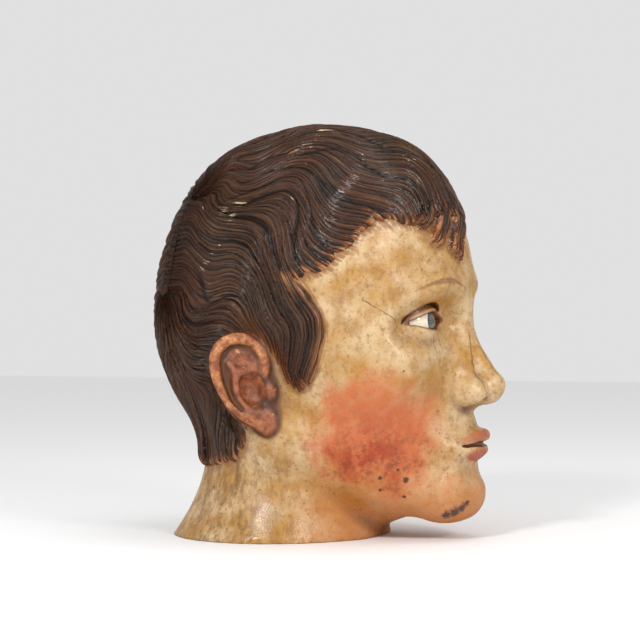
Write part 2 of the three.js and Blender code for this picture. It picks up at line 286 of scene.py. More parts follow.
def brow_and_sockets(d, f):
    ridge = chain(f, [(10, -84, BROW - 2), (28, -83, BROW + 3), (46, -69, BROW + 2)], [7, 6.5, 5])
    d = blend(d, ridge, 14)
    d = cut(d, ellipsoid(f, (29, -96, -1), (17, 16, 11.5)), 12)
    d = cut(d, ellipsoid(f, (50, -90, -3), (14, 20, 10)), 12)
    return cut(d, ellipsoid(f, (16, -97, -2), (7, 10, 12)), 8)


def nose(d, f):
    d = blend(d, chain(f, [(0, -84, 12), (0, -90, -8), (0, -99, -28)], [6.5, 5.6, 7]), 11)
    d = blend(d, capsule(f, (5, -86, -14), (10, -91, -38), 5, 7), 9)
    d = blend(d, ellipsoid(f, (0, -104.5, NOSE_BASE + 11), (8.5, 9, 8.2)), 8)
    d = blend(d, ellipsoid(f, (11.2, -94.5, NOSE_BASE + 7.5), (5.4, 9.5, 6.8)), 6)
    d = blend(d, capsule(f, (0, -92, NOSE_BASE + 1.5), (0, -104, NOSE_BASE + 5.5), 4, 4.2), 5)
    return cut(d, ellipsoid(f, (7.2, -98, NOSE_BASE - 0.5), (3.2, 6, 5)), 2.5)


def at_mouth(x, dy, dz):
    return (x, LIP_FRONT + dy, MOUTH + dz)


UPPER_LIP = [at_mouth(0, -2.6, 4.2), at_mouth(7, -2.6, 4.8), at_mouth(16, 2, 2.6), at_mouth(25, 10, 0.4)]
LOWER_LIP = [at_mouth(0, -0.6, -5.2), at_mouth(10, 0.6, -4.6), at_mouth(22, 8, -1.4)]
MOUTH_LINE = [at_mouth(0, -4.2, 0.1), at_mouth(8, -3.2, 0.6), at_mouth(17, 1.2, 0), at_mouth(24, 7.4, 0.5)]


def lips(d, f):
    d = blend(d, chain(f, UPPER_LIP, [3.6, 3.8, 3, 1.4]), 4.5)
    d = blend(d, chain(f, LOWER_LIP, [4.8, 4.4, 2]), 4.5)
    d = cut(d, chain(f, MOUTH_LINE, [1.1, 1.1, 0.9, 0.5]), 1.6)
    d = cut(d, capsule(f, at_mouth(0, -7.5, 10), at_mouth(0, -4.5, 19), 3, 2.2), 4)
    return cut(d, chain(f, [at_mouth(0, -6, -15), at_mouth(14, -1, -14)], [5, 3.5]), 9)


def eye_opening(x, z):
    """Distance outside the almond between the lids, seen from in front."""
    u = x / 15.5
    height = z - 0.05 * x
    top = 4.8 * np.maximum(1 - np.abs(u + 0.12) ** 2.2, -1) + 0.4
    low = -4.8 * np.maximum(1 - np.abs(u - 0.1) ** 2.2, -1)
    return blended_max(height - top, low - height, 1)


def eyes(d, f):
    x = f[0] - EYE_SPACING / 2
    y = f[1] - EYE_DEPTH
    z = f[2]
    r = length(x, y, z)
    d = blend(d, r - (EYE_RADIUS + LID_THICKNESS), 4)
    fold = np.sqrt((r - (EYE_RADIUS + 3.4)) ** 2 + (z - (9.6 - 0.03 * x * x)) ** 2) - 1.3
    d = cut(d, fold, 2)
    d = cut(d, np.maximum(eye_opening(x, z), y + 2), 0.8)
    return np.maximum(d, EYE_RADIUS + 0.15 - r)


def smooth_line(points, radii, parts=4):
    """Points of a smooth curve through the points, and the radii along it."""
    rows = np.column_stack([points, radii])
    rows = np.vstack([2 * rows[0] - rows[1], rows, 2 * rows[-1] - rows[-2]])
    line = []
    for a, b, c, d in zip(rows, rows[1:], rows[2:], rows[3:]):
        bend = a - 2.5 * b + 2 * c - d / 2
        twist = 3 * (b - c) + d - a
        for t in np.arange(parts) / parts:
            line.append(b + (c - a) * t / 2 + bend * t ** 2 + twist * t ** 3 / 2)
    line = np.array(line + [rows[-2]])
    return line[:, :3].tolist(), line[:, 3].tolist()


HELIX = smooth_line([
    (-9, 1, 1.5), (-13, 8, 1.8), (-12.5, 18, 2), (-6, 26, 2.5), (4, 28, 3), (12.5, 23, 3.6),
    (15.5, 12, 4.2), (14, 0, 4.4), (9.5, -11, 4), (3, -19, 2.6), (-4, -24, 1.6),
], [2, 2.8, 3.3, 3.4, 3.4, 3.4, 3.2, 3, 2.8, 2.6, 2.4])
HELIX_GROOVE = smooth_line([
    (-5.5, 19.5, 5.2), (3, 22, 5.6), (9, 17, 6), (10.6, 7, 6.2), (9.2, -4, 6), (6, -11, 5.4),
], [2.6, 2.7, 2.5, 2.3, 2.2, 1.6])
ANTIHELIX = smooth_line([
    (3, -13, 2.6), (6.2, -7, 3.2), (6.6, 2, 3.4), (4.5, 9, 3), (7, 15, 2.4),
], [2.2, 2.2, 2.2, 2, 1.6])


def ear_axes(m):
    """A point's place in the ear's own frame: backward, upward and outward."""
    q = [m[i] - EAR_CENTRE[i] for i in range(3)]
    out = q[0] * math.cos(EAR_TURN) - q[1] * math.sin(EAR_TURN)
    back = q[0] * math.sin(EAR_TURN) + q[1] * math.cos(EAR_TURN)
    u = back * math.cos(EAR_LEAN) - q[2] * math.sin(EAR_LEAN)
    v = back * math.sin(EAR_LEAN) + q[2] * math.cos(EAR_LEAN)
    return [u, v, out]


def ear(m):
    e = ear_axes(m)
    d = blend(ellipsoid(e, (1, 3, -0.5), (15, 25, 4)), ellipsoid(e, (-6, 2, -7), (11, 21, 9)), 6)
    d = blend(d, ellipsoid(e, (-6, -22, 0.5), (7.5, 8.5, 4.2)), 5)
    d = blend(d, chain(e, *HELIX), 2.5)
    d = cut(d, chain(e, *HELIX_GROOVE), 2)
    d = cut(d, ellipsoid(e, (-2.5, -3.5, 5.5), (8.2, 10.5, 9)), 3)
    d = cut(d, ellipsoid(e, (-1.5, 14, 6.5), (5.5, 5, 5)), 3)
    d = blend(d, chain(e, *ANTIHELIX), 2)
    d = blend(d, chain(e, [(4.5, 9, 3), (-1, 9, 2.2), (-7, 10, 1.4)], [1.9, 1.8, 1.6]), 2)
    d = blend(d, ellipsoid(e, (-12.5, -6, 0.5), (3.5, 5.5, 3.8)), 4)
    return blend(d, ellipsoid(e, (0.5, -15.5, 1), (4.5, 3, 3)), 4)


def chart_line(points):
    return [(math.radians(angle) * CHART_RADIUS, height) for angle, height in points]


def nearest_and_above(s, z, line):
    """Distances from a line on the chart, and which points lie above it."""
    nearest = np.full(s.shape, 1e9)
    above = np.zeros(s.shape, bool)
    for (ax, az), (bx, bz) in zip(line, line[1:]):
        dx, dz = bx - ax, bz - az
        t = np.clip(((s - ax) * dx + (z - az) * dz) / (dx * dx + dz * dz), 0, 1)
        nearest = np.minimum(nearest, np.hypot(s - ax - t * dx, z - az - t * dz))
        if dx:
            spans = (s >= min(ax, bx)) & (s < max(ax, bx))
            above ^= spans & (z > az + dz * (s - ax) / dx)
    return nearest, above


class Chart:
    """How far each point of the head's outside lies above a line that is drawn round it, in millimetres."""

    LOW = (-20, -20)
    HIGH = (300, 280)

    def __init__(self, line):
        axes = [np.arange(low, high + 1.0) for low, high in zip(self.LOW, self.HIGH)]
        s, z = np.meshgrid(*axes, indexing="ij")
        nearest, above = nearest_and_above(s, z, line)
        self.depth = np.where(above, nearest, -nearest).astype(np.float32)

    def __call__(self, m):
        s = np.arctan2(m[0], CRANIUM[1] - m[1]) * CHART_RADIUS - self.LOW[0]
        z = np.clip(m[2], self.LOW[1], self.HIGH[1] - 2) - self.LOW[1]
        i = s.astype(np.int32)
        j = z.astype(np.int32)
        u = s - i
        v = z - j
        low = self.depth[i, j] * (1 - v) + self.depth[i, j + 1] * v
        high = self.depth[i + 1, j] * (1 - v) + self.depth[i + 1, j + 1] * v
        return low * (1 - u) + high * u


def charts():
    """How far a point is inside the hairline, and how far behind its front edge."""
    line = chart_line(HAIRLINE)
    line = [(line[0][0] - 60, line[0][1])] + line + [(line[-1][0] + 60, line[-1][1])]
    front = chart_line(FRONT_EDGE)
    return Chart(line), Chart(front + [(front[-1][0] + 400, front[-1][1] - 300)])


hair_chart, front_chart = charts()


def whorl_axes():
    up = np.array([0, 0, 1.0]) - WHORL * WHORL[2]
    up /= np.linalg.norm(up)
    return up, np.cross(WHORL, up)


WHORL_UP, WHORL_SIDE = whorl_axes()


def from_whorl(p):
    """A point's place on a flat chart of the head round the whorl, in millimetres upwards and to the side."""
    q = [p[i] - CRANIUM[i] for i in range(3)]
    size = length(*q) + 1e-6
    axes = (WHORL, WHORL_UP, WHORL_SIDE)
    towards, up, side = [sum(q[i] * axis[i] for i in range(3)) / size for axis in axes]
    away = np.arccos(np.clip(towards, -1, 1)) * HEAD_RADIUS
    flat = away / (np.hypot(up, side) + 1e-6)
    return up * flat, side * flat + PARTING_SWAY * np.sin(up * flat / 10)


def parting_field(up, side):
    """A strand's start as an angle round the whorl and parting, and the distance along it."""
    down = np.clip(-up, 0, PARTING)
    away = np.hypot(up + down, side)
    start = np.arctan2(side, up + down) + np.sign(side) * down / HEAD_RADIUS
    return start * (math.pi / (math.pi + PARTING / HEAD_RADIUS)), away


def sweep(start, away):
    """How far a strand is bent, and how far it runs from straight forward."""
    return SWEEP * np.clip((away - 30) / 100, 0, 1.3), start - FORWARD


def swept(start, away):
    """Strands that run forward bend down to the side they are on."""
    bend, across = sweep(start, away)
    return start - bend * np.sin(across) * (0.5 + 0.5 * np.cos(across))


def spread_by_sweep(start, away):
    """How many times further apart the strands lie for having been swept."""
    bend, across = sweep(start, away)
    return 1 / (1 - 0.5 * bend * (np.cos(across) + np.cos(2 * across)))


def temple_turn(start, behind, angle, side):
    """Below the corner of the hairline the strands turn down, side by side with the hair's front edge."""
    turned = start
    for sign, (starts, drops) in TEMPLE_STARTS.items():
        order = np.argsort(starts)
        from_corner = np.interp(start, starts[order], drops[order])
        from_edge = behind + 60 * step_up(angle, 1.3, 2.2)
        hang = blend(from_corner, from_edge, 34)
        change = np.interp(hang, drops, starts) - np.interp(from_corner, drops, starts)
        turned = np.where(sign * side > 0, start + change, turned)
    return turned


def base_field(p):
    return swept(*parting_field(*from_whorl(p)))


def temple_starts():
    """On each side of the head, the strands that pass below the corner, and how far below."""
    starts = {}
    drops = np.linspace(-TEMPLE_DROP / 2, TEMPLE_DROP, TEMPLE_STEPS)
    for sign in (-1, 1):
        x = np.full(TEMPLE_STEPS, sign * TEMPLE_RADIUS * math.sin(TEMPLE_ANGLE))
        y = np.full(TEMPLE_STEPS, CRANIUM[1] - TEMPLE_RADIUS * math.cos(TEMPLE_ANGLE))
        starts[sign] = base_field([x, y, TEMPLE_HEIGHT - drops]), drops
    return starts


TEMPLE_STARTS = temple_starts()


def drift(grain, start, away, across, offset, run):
    """A random value that changes slowly from strand to strand and along each one."""
    return grain(across * np.cos(start) + offset, across * np.sin(start) + offset, away / run)


def strands(p, m):
    """The angle at which a point's strand starts, how far along it the point is, the wave and the room."""
    up, side = from_whorl(p)
    start, away = parting_field(up, side)
    heading = np.arctan2(side, up + np.clip(-up, 0, PARTING))
    forward = 0.5 - 0.5 * np.sin(start)
    crest = np.interp(start, WAVE_STARTS, WAVE_CRESTS)
    crest = crest + 5 * drift(drift_grain, start, away, 3, 5, 200)
    wave = np.cos((away - crest) * (2 * math.pi / np.interp(start, WAVE_STARTS, WAVE_LENGTHS)))
    shift = WAVE_HEIGHT * step_up(away, 0, 30) * (0.4 + 0.6 * forward) * wave
    shift = shift + 2.4 * drift(drift_grain, start, away, 3, 9, 34)
    polar = np.clip(away / HEAD_RADIUS, 0.05, 2.4)
    shift = shift * polar / np.sin(polar)
    start, away = parting_field(up + shift * np.sin(heading), side - shift * np.cos(heading))
    spread = spread_by_sweep(start, away)
    angle = np.arctan2(m[0], CRANIUM[1] - m[1])
    start = temple_turn(swept(start, away), front_chart(m), angle, p[0])
    strip = step_up(-up, -2, 10) * (1 - step_up(-up, PARTING - 8, PARTING + 4))
    room = HEAD_RADIUS * (strip + (1 - strip) * np.sin(np.clip(away / HEAD_RADIUS, 0.02, 2.4)))
    return start, away, wave, room * spread


def single_ridges(across, away):
    """Ridges that each have a height of their own, which changes slowly along them."""
    number = np.floor(across + 0.5)
    own = 0.66 + 0.34 * np.sin(number * 78.233 + away / 19 + 2 * np.sin(number * 12.9898))
    return own * np.abs(np.cos(math.pi * (across - number))) ** 1.4


def hair_relief(start, away, wave, room):
    """How high the carving stands, and how near the crest of its strand and of its lock a point is."""
    ruffle = 2.2 * drift(drift_grain, start, away, 9, 17, 14)
    spread = 1.3 * np.sin(start * (RIDGES / 4)) + 1.1 * np.sin(start * (RIDGES * 5 / 16))
    phase = start + (ruffle + spread) / RIDGES
    turns = phase * (RIDGES / (2 * math.pi))
    ridge = single_ridges(turns / 4, away)
    for parts, low, high in ((0.5, 26, 42), (1, 56, 82), (2, 130, 170)):
        ridge = ridge + (single_ridges(turns * parts, away) - ridge) * step_up(room, low, high)
    wander = drift(depth_grain, start, away, 5, 9, 26)
    across = start * (LOCKS / (2 * math.pi)) + 0.75 * wander
    lock = np.floor(across)
    t = np.abs(across - lock - 0.5) * 2
    crown = 1 - t ** 3.5 * step_up(away, 6, 36)
    rise = 0.55 * np.sin(lock * 12.9898) * crown * step_up(away, 6, 36)
    depth = RIDGE_DEPTH * (0.85 + 0.6 * wander)
    deep = LOCK_DEPTH * (0.8 + 0.8 * drift(depth_grain, start, away, 2, 3, 40))
    height = depth * (ridge - 1) + deep * (crown - 1) + rise + WAVE_BULGE * wave * step_up(away, 4, 40)
    return height, ridge, crown


def fringe(p):
    """How far inside the forehead locks a point is, seen from in front, and how far across and down them."""
    inside = np.full(p[0].shape, -50.0)
    side = np.zeros_like(inside)
    fall = np.zeros_like(inside)
    for root, tip, wide, narrow in FRINGE:
        reach = math.hypot(tip[0] - root[0], tip[1] - root[1])
        down = [(tip[i] - root[i]) / reach for i in range(2)]
        along = (p[0] - root[0]) * down[0] + (p[2] - root[1]) * down[1]
        across = (p[0] - root[0]) * down[1] - (p[2] - root[1]) * down[0]
        across = across + 1.6 * np.sin(along / 6)
        half = wide + (narrow - wide) * np.clip(along / reach, 0, 1)
        within = blend(half - np.abs(across), reach - along, 1.5)
        side = np.where(within > inside, across + 40 * wide, side)
        fall = np.where(within > inside, along, fall)
        inside = np.maximum(inside, within)
    inside = np.where((p[1] < CRANIUM[1] - 40) & (p[2] < FRINGE_TOP + 4), inside, -50)
    return inside, side, fall


def fringe_ridge(side, fall):
    return single_ridges(side / 2.1, fall)


def fringe_top(side):
    """The height at which each strand of the forehead locks comes out of the hair above."""
    return FRINGE_TOP + 4 * np.sin(0.9 * side)


def picked(p, chosen):
    return [axis[chosen] for axis in p]


def hair_height(p, m):
    """How far the hair stands off the skin. Its edge is jagged where locks end at the hairline."""
    depth = hair_chart(m)
    lock, side, fall = fringe(p)
    height = np.zeros_like(depth)
    near = (depth > -6) | (lock > -2)
    if not near.any():
        return height
    q = picked(p, near)
    start, away, wave, room = strands(q, picked(m, near))
    relief, ridge, crown = hair_relief(start, away, wave, room)
    inside = depth[near] + 3.6 * (crown - 0.6) + 1.2 * (ridge - 0.5)
    edge = np.clip(inside / 7, 0, 1)
    bulk = HAIR_THICKNESS * (0.6 * np.sqrt(1 - (1 - edge) ** 2) + 0.4 * np.clip(inside / 25, 0, 1))
    by_ear = step_up(np.hypot((q[1] - 9) / 28, (q[2] - 90) / 38), 0.75, 1.15)
    hair = (bulk + relief * np.clip(inside / 5, 0, 1)) * by_ear
    strip = fringe_ridge(side[near], fall[near])
    front = lock[near] + 2.4 * (strip - 0.6)
    top = fringe_top(side[near])
    hang = step_up(q[2], top, top - 16)
    rounded = np.sqrt(1 - (1 - np.clip(front / 3, 0, 1)) ** 2)
    curl = hang * (FRINGE_THICKNESS * rounded + 1.3 * (strip - 1)) * (front > 0)
    height[near] = np.maximum(np.maximum(hair, curl), 0)
    return height


def bust(p):
    """Signed distance from the carved surface in millimetres, apart from the woodworm holes."""
    m = [np.abs(p[0]), p[1], p[2]]
    f = to_face(m)
    d = blend(blend(skull(m), face_mass(f), 26), neck(m), 12)
    front = f[1] < -50
    if front.any():
        g = picked(f, front)
        d[front] = eyes(lips(nose(brow_and_sockets(d[front], g), g), g), g)
    d = d - hair_height(p, m)
    beside = (m[0] > 46) & (np.abs(m[1]) < 45) & (np.abs(m[2] - EAR_CENTRE[2]) < 45)
    if beside.any():
        d[beside] = blend(d[beside], ear(picked(m, beside)), 3)
    d = d + 0.12 * skin_grain(p[0] / 9, p[1] / 9, p[2] / 9)
    return np.maximum(d, -p[2])


def view_direction(azimuth):
    return np.array([math.sin(azimuth), -math.cos(azimuth), 0])


def seen_at(places):
    """The points of the carved surface that lie at places in the picture, in pixels, one in each column."""
    back = view_direction(VIEW_AZIMUTH)
    across = np.array([-back[1], back[0], 0])
    x, y = [np.array(values) * MM_PER_PIXEL for values in zip(*places)]
    half = PICTURE_WIDTH * MM_PER_PIXEL / 2
    eye = np.array(PICTURE_CENTRE) + back * CAMERA_DISTANCE
    rays = np.outer(across, x - half) - np.outer(back, np.full(len(places), CAMERA_DISTANCE))
    rays[2] += half - y
    rays /= np.linalg.norm(rays, axis=0)
    far = np.full(len(places), CAMERA_DISTANCE - 130)
    for step in range(60):
        far = far + 0.6 * bust(eye[:, None] + rays * far)
    return eye[:, None] + rays * far


def sampled(form, points):
    """The form's distance at many points, worked out in chunks side by side."""
    count = max(1, points.shape[1] // CHUNK)
    with ThreadPoolExecutor() as pool:
        return np.concatenate(list(pool.map(form, np.array_split(points, count, axis=1))))


def box_offsets(side):
    return np.stack(np.meshgrid(*[np.arange(side)] * 3, indexing="ij")).reshape(3, -1)


def distance_grid(form, low, high):
    """The form's distance on a grid, worked out only in the blocks near its surface."""
    blocks = np.ceil((high - low) / (STEP * BLOCK)).astype(int)
    corners = np.stack(np.meshgrid(*[np.arange(n) for n in blocks], indexing="ij")).reshape(3, -1)
    middles = (low[:, None] + (corners + 0.5) * BLOCK * STEP).astype(np.float32)
    rough = sampled(form, middles)
    grid = np.where(rough < 0, -1e3, 1e3).astype(np.float32).reshape(blocks)
    for axis in range(3):
        grid = np.repeat(grid, BLOCK, axis=axis)
    near = corners[:, np.abs(rough) < BLOCK * STEP * math.sqrt(3) / 2 + 1.2]
    index = (near[:, :, None] * BLOCK + box_offsets(BLOCK)[:, None, :]).reshape(3, -1)
    points = (low[:, None] + index * STEP).astype(np.float32)
    grid[tuple(index)] = sampled(form, points)
    return grid


def edge_ends(values, axis):
    """The values at the lower and upper end of each grid edge along an axis."""
    size = values.shape[axis]
    return np.take(values, range(size - 1), axis), np.take(values, range(1, size), axis)


def surface_nets(grid, low):
    """A quad mesh of the grid's zero level: one vertex in each cell that the surface crosses."""
    inside = (grid < 0).astype(np.int8)
    count = inside
    for axis in range(3):
        lower, upper = edge_ends(count, axis)
        count = lower + upper
    cells = np.argwhere((count > 0) & (count < 8))
    index = np.full(count.shape, -1, np.int32)
    index[tuple(cells.T)] = np.arange(len(cells))
    total = np.zeros((len(cells), 3), np.float32)
    hits = np.zeros(len(cells), np.float32)
    quads = []
    for axis in range(3):
        first, second = (axis + 1) % 3, (axis + 2) % 3
        for corner in ((0, 0), (0, 1), (1, 0), (1, 1)):
            start = np.zeros(3, int)
            start[[first, second]] = corner
            end = start.copy()
            end[axis] = 1
            a = grid[tuple((cells + start).T)]
            b = grid[tuple((cells + end).T)]
            crosses = (a < 0) != (b < 0)
            place = np.tile(start.astype(np.float32), (len(cells), 1))
            place[:, axis] = np.where(crosses, a / np.where(crosses, a - b, 1), 0)
            total += place * crosses[:, None]
            hits += crosses
        quads.append(crossing_quads(inside, index, axis, first, second))
    return low + (cells + total / hits[:, None]) * STEP, np.concatenate(quads)


def crossing_quads(inside, index, axis, first, second):
    """One quad for each grid edge along an axis that the surface crosses."""
    lower, upper = edge_ends(inside, axis)
    edges = np.argwhere(lower != upper)
    leaving = lower[tuple(edges.T)] == 1
    corners = []
    for back_first, back_second in ((1, 1), (0, 1), (0, 0), (1, 0)):
        cell = edges.copy()
        cell[:, first] -= back_first
        cell[:, second] -= back_second
        corners.append(index[tuple(cell.T)])
    quads = np.stack(corners, 1)
    quads[~leaving] = quads[~leaving][:, ::-1]
    return quads


def in_scene(name, mesh):
    """A smooth-shaded object in the scene."""
    mesh.shade_smooth()
    piece = bpy.data.objects.new(name, mesh)
    bpy.context.scene.collection.objects.link(piece)
    return piece


def mesh_object(name, vertices, faces):
    """An object from vertices in millimetres and faces that all have as many corners."""
    sides = faces.shape[1]
    mesh = bpy.data.meshes.new(name)
    mesh.vertices.add(len(vertices))
    mesh.vertices.foreach_set("co", (vertices / 1000).astype(np.float32).ravel())
    mesh.loops.add(faces.size)
    mesh.loops.foreach_set("vertex_index", faces.astype(np.int32).ravel())
    mesh.polygons.add(len(faces))
    mesh.polygons.foreach_set("loop_start", np.arange(0, faces.size, sides, dtype=np.int32))
    mesh.update(calc_edges=True)
    return in_scene(name, mesh)


def thinned(piece, triangles):
    """The piece with its mesh collapsed to about as many triangles, fewest where the surface is straight."""
    quads = len(piece.data.polygons)
    modifier = piece.modifiers.new("thin", "DECIMATE")
    modifier.ratio = triangles / (2 * quads)
    modifier.use_collapse_triangulate = True
    thin = bpy.data.meshes.new_from_object(piece.evaluated_get(bpy.context.evaluated_depsgraph_get()))
    piece.modifiers.clear()
    piece.data = thin
    thin.name = piece.name
    thin.shade_smooth()
    return piece


def vertices_of(piece):
    flat = np.empty(3 * len(piece.data.vertices), np.float32)
    piece.data.vertices.foreach_get("co", flat)
    return flat.reshape(-1, 3).T * 1000


def gradient(form, points, reach):
    """Unit normals of the form at points."""
    parts = []
    for axis in range(3):
        offset = np.zeros((3, 1), np.float32)
        offset[axis] = reach
        parts.append(sampled(form, points + offset) - sampled(form, points - offset))
    normals = np.stack(parts)
    return normals / (np.linalg.norm(normals, axis=0) + 1e-9)


def add_attribute(piece, name, values):
    """A number or a vector on each vertex, for the materials to read."""
    kind, field = ("FLOAT_VECTOR", "vector") if values.ndim == 2 else ("FLOAT", "value")
    attribute = piece.data.attributes.new(name, kind, "POINT")
    attribute.data.foreach_set(field, np.ascontiguousarray(values.T, dtype=np.float32).ravel())


def on_surface(spots):
    """The middle of each patch of damage on the carved surface, and its radius."""
    centres = seen_at([spot[:2] for spot in spots])
    return [(centre, spot[2]) for centre, spot in zip(centres.T, spots)]


def patches(p, spots):
    """How far inside a patch of damage each point is: 1 in its middle, 0 at its rim and -1 far off."""
    inside = np.full(p.shape[1], -1.0)
    for centre, radius in on_surface(spots):
        inside = np.maximum(inside, 1 - length(*(p - centre[:, None])) / radius)
    return inside


def wormed(p):
    """The carved surface with its woodworm holes."""
    d = bust(p)
    for hole in HOLES.T:
        d = np.maximum(d, WORM_RADIUS - length(*[p[i] - hole[i] for i in range(3)]))
    return d


HOLES = seen_at(WORM_HOLES)


def paint_masks(piece):
    """What the paint needs to know at each vertex of the head."""
    p = vertices_of(piece)
    m = np.stack([np.abs(p[0]), p[1], p[2]])
    f = to_face(m)
    depth = hair_chart(m)
    start, away, wave, room = strands(p, m)
    relief, ridge, crown = hair_relief(start, away, wave, room)
    hair = depth + 3.6 * (crown - 0.6) + 1.2 * (ridge - 0.5)
    lock, side, fall = fringe(p)
    strip = fringe_ridge(side, fall)
    hair = np.maximum(hair, lock + 2.4 * (strip - 0.6))
    in_fringe = (lock > -1) & (p[2] < fringe_top(side) - 8)
    ridge = np.where(in_fringe, strip, ridge)
    swirl = [60 * np.cos(start), 60 * np.sin(start), away / 30]
    lip = np.minimum(chain(f, UPPER_LIP, [3.6, 3.8, 3, 1.4]), chain(f, LOWER_LIP, [4.8, 4.4, 2]))
    normals = gradient(bust, p, 1.5)
    masks = {
        "hair": np.where(ear(m) < 0.6, -20, hair),
        "ridge": ridge,
        "crown": crown,
        "away": away,
        "strand": np.where(in_fringe, [0.6 * side, 0.6 * side, fall / 30], swirl),
        "ground": patches(p, BARE_GROUND),
        "red": patches(p, RED_GROUND),
        # How open each point is, at 4 mm and at 1.8 mm: the paint darkens the closed places as painted shade
        # in hollows and creases.
        "shade_openness": np.clip(sampled(bust, p + 4 * normals) / 4, -1, 1),
        "fold": np.clip(sampled(bust, p + 1.8 * normals) / 1.8, -1, 1),
        "edge": np.clip(1 + sampled(bust, p - 4.5 * normals) / 4.5, 0, 1),
        "ear": ear(m),
        "rim": chain(ear_axes(m), *HELIX),
        "lip": lip,
        "lid": eye_opening(f[0] - EYE_SPACING / 2, f[2]),
    }
    for name, values in masks.items():
        add_attribute(piece, name, values)


def linear(colour):
    """A colour from the photograph's 0 to 255 scale as linear light. A node's output stays as it is."""
    if isinstance(colour, bpy.types.NodeSocket):
        return colour
    shares = np.array(colour) / 255
    light = np.where(shares <= 0.04045, shares / 12.92, ((shares + 0.055) / 1.055) ** 2.4)
    return [*light.tolist(), 1.0]


class Paint:
    """Short names for building one node material."""

    def __init__(self, name):
        self.material = bpy.data.materials.new(name)
        self.material.use_nodes = True
        self.tree = self.material.node_tree
        self.surface = self.tree.nodes["Principled BSDF"]

    def node(self, kind, values=(), **settings):
        node = self.tree.nodes.new(kind)
        for key, value in settings.items():
            setattr(node, key, value)
        for socket, value in values:
            self.feed(node.inputs[socket], value)
        return node

    def feed(self, socket, value):
        """Give a socket another node's output, a constant, or the vertex attribute of that name."""
        if isinstance(value, str):
            value = self.number(value)
        if isinstance(value, bpy.types.NodeSocket):
            self.tree.links.new(value, socket)
        else:
            socket.default_value = value

    def set(self, name, value):
        self.feed(self.surface.inputs[name], value)

    def math(self, operation, *values):
        return self.node("ShaderNodeMath", enumerate(values), operation=operation).outputs[0]

    def vectors(self, operation, first, second, output="Vector"):
        ends = [(0, first), (1, second)]
        return self.node("ShaderNodeVectorMath", ends, operation=operation).outputs[output]

    def times(self, *values):
        total = values[0]
        for value in values[1:]:
            total = self.math("MULTIPLY", total, value)
        return total

    def ramp(self, value, low, high, bottom=0.0, top=1.0):
        """bottom below low, top above high and smooth between."""
        ends = [("Value", value), ("From Min", low), ("From Max", high), ("To Min", bottom), ("To Max", top)]
        return self.node("ShaderNodeMapRange", ends, interpolation_type="SMOOTHSTEP").outputs[0]

    def mix(self, share, low, high):
        """From low to high by the share. Each is a node's output or a colour from 0 to 255."""
        colours = [("Factor", share), (6, linear(low)), (7, linear(high))]
        return self.node("ShaderNodeMix", colours, data_type="RGBA").outputs[2]

    def cover(self, colour, value, low, high, share, cover):
        """The colour, covered up to a share by another as the value goes from low to high."""
        return self.mix(self.ramp(value, low, high, 0.0, share), colour, cover)

    def noise(self, place, scale, detail=3.0, roughness=0.55):
        values = [("Vector", place), ("Scale", scale), ("Detail", detail), ("Roughness", roughness)]
        return self.node("ShaderNodeTexNoise", values).outputs[0]

    def number(self, name):
        return self.node("ShaderNodeAttribute", attribute_name=name).outputs["Fac"]

    def vector(self, name):
        return self.node("ShaderNodeAttribute", attribute_name=name).outputs["Vector"]

    def place(self):
        """The point on the piece in millimetres, in the row frame."""
        here = self.node("ShaderNodeTexCoord").outputs["Object"]
        return self.vectors("MULTIPLY", here, (1000, 1000, 1000))

    def along(self, place, direction, offset=0.0):
        """How far a point lies along a direction, less an offset."""
        return self.math("SUBTRACT", self.vectors("DOT_PRODUCT", place, direction, "Value"), offset)

    def bump(self, height, strength, distance):
        values = [("Height", height), ("Strength", strength), ("Distance", distance)]
        return self.node("ShaderNodeBump", values).outputs[0]


def face_axes(paint, place):
    """Side, forward and up distances in the face's own frame. Side has no sign."""
    c, s = math.cos(CHIN_TILT), math.sin(CHIN_TILT)
    y0, z0 = FACE_ORIGIN[1], FACE_ORIGIN[2]
    side = paint.math("ABSOLUTE", paint.along(place, (1, 0, 0)))
    forward = paint.along(place, (0, c, -s), y0 * c - z0 * s)
    up = paint.along(place, (0, s, c), y0 * s + z0 * c)
    return side, forward, up


def flesh_colour(paint, place, face):
    """Old flesh paint: cream, mottled with ochre and dirt, with red cheeks, lips and ears, and painted shade
    in the hollows and creases.
    """
    forward = face[1]
    broad = paint.noise(place, 0.035, 4.0, 0.6)
    middle = paint.noise(place, 0.09, 5.0, 0.65)
    fine = paint.noise(place, 0.3, 5.0, 0.7)
    colour = paint.mix(paint.ramp(broad, 0.35, 0.65), (196, 168, 128), (170, 126, 62))
    colour = paint.cover(colour, middle, 0.45, 0.68, 0.6, (144, 98, 46))
    colour = paint.cover(colour, fine, 0.48, 0.72, 0.6, (122, 80, 40))
    grit = paint.noise(place, 0.6, 5.0, 0.75)
    colour = paint.cover(colour, grit, 0.56, 0.68, 0.3, (122, 84, 46))
    height = paint.along(place, (0, 0, 1))
    low = paint.ramp(paint.math("MULTIPLY_ADD", middle, 60.0, height), 78.0, 48.0, 0.0, 0.75)
    low = paint.times(low, paint.ramp(forward, 15.0, -30.0))
    colour = paint.mix(low, colour, (180, 106, 48))
    colour = neck_dirt(paint, colour, place, height, forward)
    colour = cheeks(paint, colour, place, face, fine)
    colour = ears(paint, colour, place, fine)
    colour = mouth_and_lids(paint, colour)
    # Painted shade: brown in the hollows, and darker brown lines in the creases of the carving.
    colour = paint.cover(colour, "shade_openness", 0.82, 0.3, 0.75, (104, 62, 34))
    colour = paint.cover(colour, "fold", 0.78, 0.4, 0.75, (92, 48, 22))
    colour = brows(paint, colour, place, face)
    colour = cracks(paint, colour, place)
    speck = paint.noise(place, 0.55, 1.0, 0.5)
    colour = paint.cover(colour, speck, 0.72, 0.78, 0.8, (84, 50, 28))
    return skin_chips(paint, colour, place)


